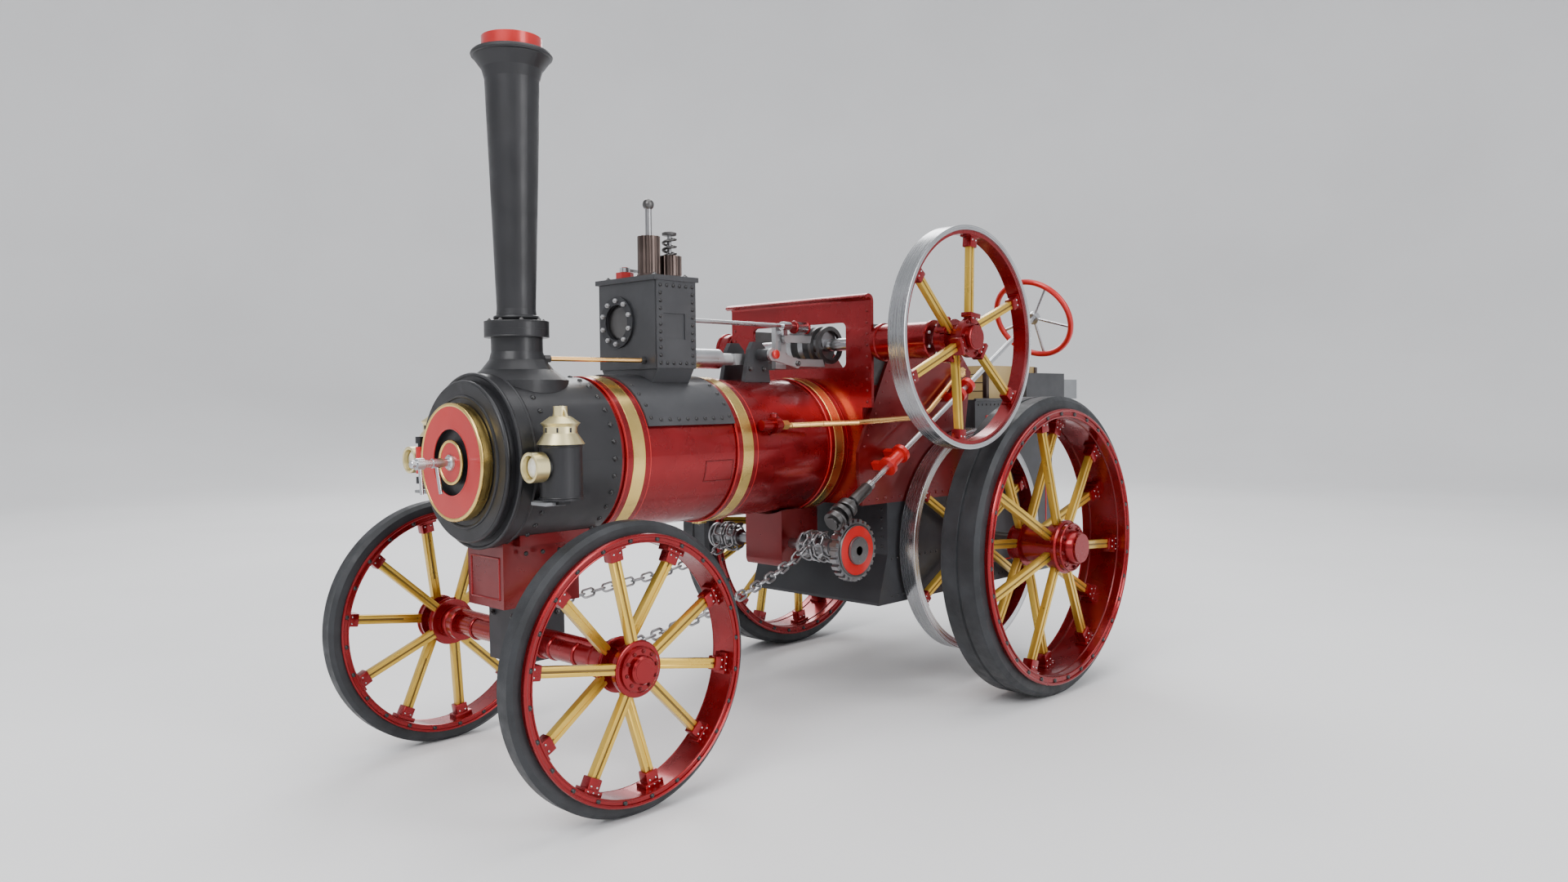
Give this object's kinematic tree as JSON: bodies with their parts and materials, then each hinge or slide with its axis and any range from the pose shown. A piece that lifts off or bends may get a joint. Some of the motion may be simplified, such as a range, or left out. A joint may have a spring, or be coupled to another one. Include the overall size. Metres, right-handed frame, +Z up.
{
  "type": "model steam engine",
  "caption": "Scale model traction engine: horizontal boiler, tall chimney, overhead crank with flywheel, spoked road wheels, chain steering.",
  "frame": {"origin": "on the ground, under the middle of the box around the engine", "axes": "+Y from chimney end to tender end, +X to the flywheel side, +Z up"},
  "size_m": [0.254, 0.471, 0.3295],
  "materials": {
    "black_paint": "satin",
    "red_paint": "gloss",
    "yellow_paint": "gloss",
    "grey_paint": "satin",
    "polished_steel": "polished",
    "dark_steel": "satin",
    "brass": "polished",
    "copper": "polished",
    "tyre": "matt"
  },
  "bodies": {
    "chassis": {"smokebox": "black_paint", "chimney": "black_paint", "chimney_cap": "red_paint", "chimney_saddle": "black_paint", "boiler_barrel": "red_paint", "boiler_bands": "brass", "lamp_bodies": "black_paint", "lamp_tops": "brass", "cylinder_saddle": "grey_paint", "cylinder_block": "black_paint", "cylinder_cover": "dark_steel", "blower_pipe": "copper", "valve_turrets": "dark_steel", "valve_spring": "dark_steel", "regulator_fitting": "red_paint", "trunk_guide": "polished_steel", "motion_bracket": "dark_steel", "spectacle_plate": "red_paint", "firebox": "black_paint", "hornplates": "red_paint", "bearing_blocks": "red_paint", "belly_tank": "grey_paint", "chain_bracket": "red_paint", "tender_body": "grey_paint", "tender_locker": "brass", "drawbar": "dark_steel", "feed_pipe": "copper", "steering_brackets": "red_paint", "perch_bracket": "red_paint", "steering_chains": "dark_steel"},
    "smokebox_door": {"door_plate": "red_paint", "door_ring": "brass"},
    "door_dart": {"dart_handle": "polished_steel"},
    "door_lock": {"lock_handle": "polished_steel"},
    "relief_rod": {"lift_rod": "polished_steel"},
    "regulator": {"regulator_lever": "polished_steel"},
    "crosshead": {"crosshead": "polished_steel"},
    "connecting_rod": {"connecting_rod": "polished_steel"},
    "crank": {"crankshaft": "polished_steel", "flywheel_rim": "polished_steel", "flywheel_wheel": "red_paint", "flywheel_spokes": "yellow_paint"},
    "valve_rod": {"valve_rod": "polished_steel"},
    "expansion_link": {"expansion_link": "polished_steel"},
    "upper_eccentric_rod": {"eccentric_rod_upper": "polished_steel"},
    "lower_eccentric_rod": {"eccentric_rod_lower": "polished_steel"},
    "lifting_arm": {"lifting_arm": "polished_steel"},
    "fire_door": {"fire_door": "dark_steel"},
    "steering": {"steering_column": "polished_steel", "steering_wheel": "red_paint"},
    "chain_barrel": {"chain_barrel": "dark_steel"},
    "front_axle": {"front_axle": "red_paint", "pivot_block": "grey_paint"},
    "front_wheel_near": {"front_wheel_near": "tyre"},
    "front_wheel_far": {"front_wheel_far": "tyre"},
    "rear_axle": {"rear_axle": "dark_steel", "rear_tyres": "tyre", "rear_rims": "red_paint", "rear_spokes": "yellow_paint", "final_wheel": "red_paint"}
  },
  "joints": [
    {"name": "smokebox_door_hinge", "type": "hinge", "parent": "chassis", "child": "smokebox_door", "pos_m": [-0.0304, -0.2097, 0.1428], "axis": [0, 0, -1], "range_deg": [0, 100]},
    {"name": "dart_turn", "type": "hinge", "parent": "smokebox_door", "child": "door_dart", "pos_m": [0, -0.2155, 0.1428], "axis": [0, 1, 0], "range_deg": [-90, 90]},
    {"name": "lock_turn", "type": "hinge", "parent": "door_dart", "child": "door_lock", "pos_m": [0, -0.2255, 0.1428], "axis": [0, 1, 0], "range_deg": [-90, 90]},
    {"name": "relief_rod_lift", "type": "slide", "parent": "chassis", "child": "relief_rod", "axis": [0, 0, 1], "range_m": [0, 0.002]},
    {"name": "regulator_turn", "type": "hinge", "parent": "chassis", "child": "regulator", "pos_m": [-0.009, -0.1095, 0.233], "axis": [0, 0, 1], "range_deg": [-20, 40]},
    {"name": "crosshead_slide", "type": "slide", "parent": "chassis", "child": "crosshead", "axis": [0, 1, 0], "range_m": [-0.008, 0.008]},
    {"name": "connecting_rod_swing", "type": "hinge", "parent": "crosshead", "child": "connecting_rod", "pos_m": [0, -0.0411, 0.19], "axis": [1, 0, 0], "range_deg": [0, 16]},
    {"name": "crank_spin", "type": "hinge", "parent": "chassis", "child": "crank", "pos_m": [0, 0.0139, 0.1986], "axis": [1, 0, 0], "continuous": true},
    {"name": "valve_rod_slide", "type": "slide", "parent": "chassis", "child": "valve_rod", "axis": [0, 1, 0], "range_m": [-0.0022, 0.0022]},
    {"name": "expansion_link_swing", "type": "hinge", "parent": "valve_rod", "child": "expansion_link", "pos_m": [0.008, -0.0181, 0.2048], "axis": [1, 0, 0], "range_deg": [-7, 7]},
    {"name": "upper_eccentric_rod_swing", "type": "hinge", "parent": "expansion_link", "child": "upper_eccentric_rod", "pos_m": [0.011, -0.0149, 0.2016], "axis": [1, 0, 0], "range_deg": [-7, 7]},
    {"name": "lower_eccentric_rod_swing", "type": "hinge", "parent": "expansion_link", "child": "lower_eccentric_rod", "pos_m": [0.017, -0.0149, 0.1884], "axis": [1, 0, 0], "range_deg": [-7, 7]},
    {"name": "lifting_arm_swing", "type": "hinge", "parent": "chassis", "child": "lifting_arm", "pos_m": [0.02, -0.0346, 0.1923], "axis": [1, 0, 0], "range_deg": [-5, 6]},
    {"name": "fire_door_hinge", "type": "hinge", "parent": "chassis", "child": "fire_door", "pos_m": [-0.0145, 0.0888, 0.1348], "axis": [0, 0, 1], "range_deg": [0, 100]},
    {"name": "steering_turn", "type": "hinge", "parent": "chassis", "child": "steering", "pos_m": [0.06, -0.02627, 0.10928], "axis": [0, 0.8643, 0.503], "range_deg": [-3600, 3600]},
    {"name": "chain_barrel_turn", "type": "hinge", "parent": "chassis", "child": "chain_barrel", "pos_m": [0, -0.0147, 0.0894], "axis": [1, 0, 0], "range_deg": [-150, 150]},
    {"name": "front_axle_steer", "type": "hinge", "parent": "chassis", "child": "front_axle", "pos_m": [0, -0.1755, 0.078], "axis": [0, 0, 1], "range_deg": [-18.2, 18.2], "deforming": ["steering_chains"]},
    {"name": "front_wheel_near_spin", "type": "hinge", "parent": "front_axle", "child": "front_wheel_near", "pos_m": [0.075, -0.1755, 0.06], "axis": [1, 0, 0], "continuous": true},
    {"name": "front_wheel_far_spin", "type": "hinge", "parent": "front_axle", "child": "front_wheel_far", "pos_m": [-0.075, -0.1755, 0.06], "axis": [1, 0, 0], "continuous": true},
    {"name": "rear_axle_spin", "type": "hinge", "parent": "chassis", "child": "rear_axle", "pos_m": [0, 0.1005, 0.0843], "axis": [1, 0, 0], "continuous": true}
  ],
  "couplings": [
    {"joint": "chain_barrel_turn", "follows": "steering_turn", "ratio": -0.041667},
    {"joint": "front_axle_steer", "follows": "steering_turn", "ratio": 0.0050505},
    {"joint": "upper_eccentric_rod_swing", "follows": "expansion_link_swing", "ratio": -1},
    {"joint": "lower_eccentric_rod_swing", "follows": "expansion_link_swing", "ratio": -1}
  ]
}
